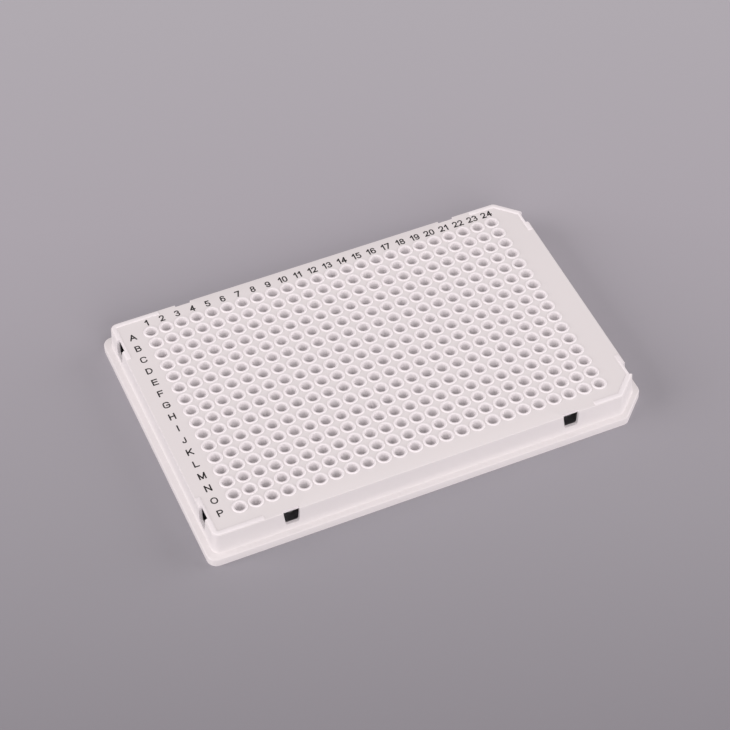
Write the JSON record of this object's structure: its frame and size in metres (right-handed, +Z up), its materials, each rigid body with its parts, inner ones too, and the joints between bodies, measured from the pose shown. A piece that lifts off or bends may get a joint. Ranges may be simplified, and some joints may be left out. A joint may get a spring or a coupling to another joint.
{
  "type": "well plate",
  "caption": "Full-skirt PCR well plate: a flat deck with a grid of raised, tapered wells over a hollow skirt, with windows at the top of its walls.",
  "frame": {"origin": "centre of the footprint on the base plane, which is also below the middle of the well grid", "axes": "+X along the length from column 1 to column 24, +Y from row P to row A, +Z up out of the wells"},
  "size_m": [0.1278, 0.0854, 0.0095],
  "materials": {
    "plate": "satin",
    "label_ink": "satin"
  },
  "bodies": {
    "root": {"plate": "plate"}
  },
  "joints": []
}
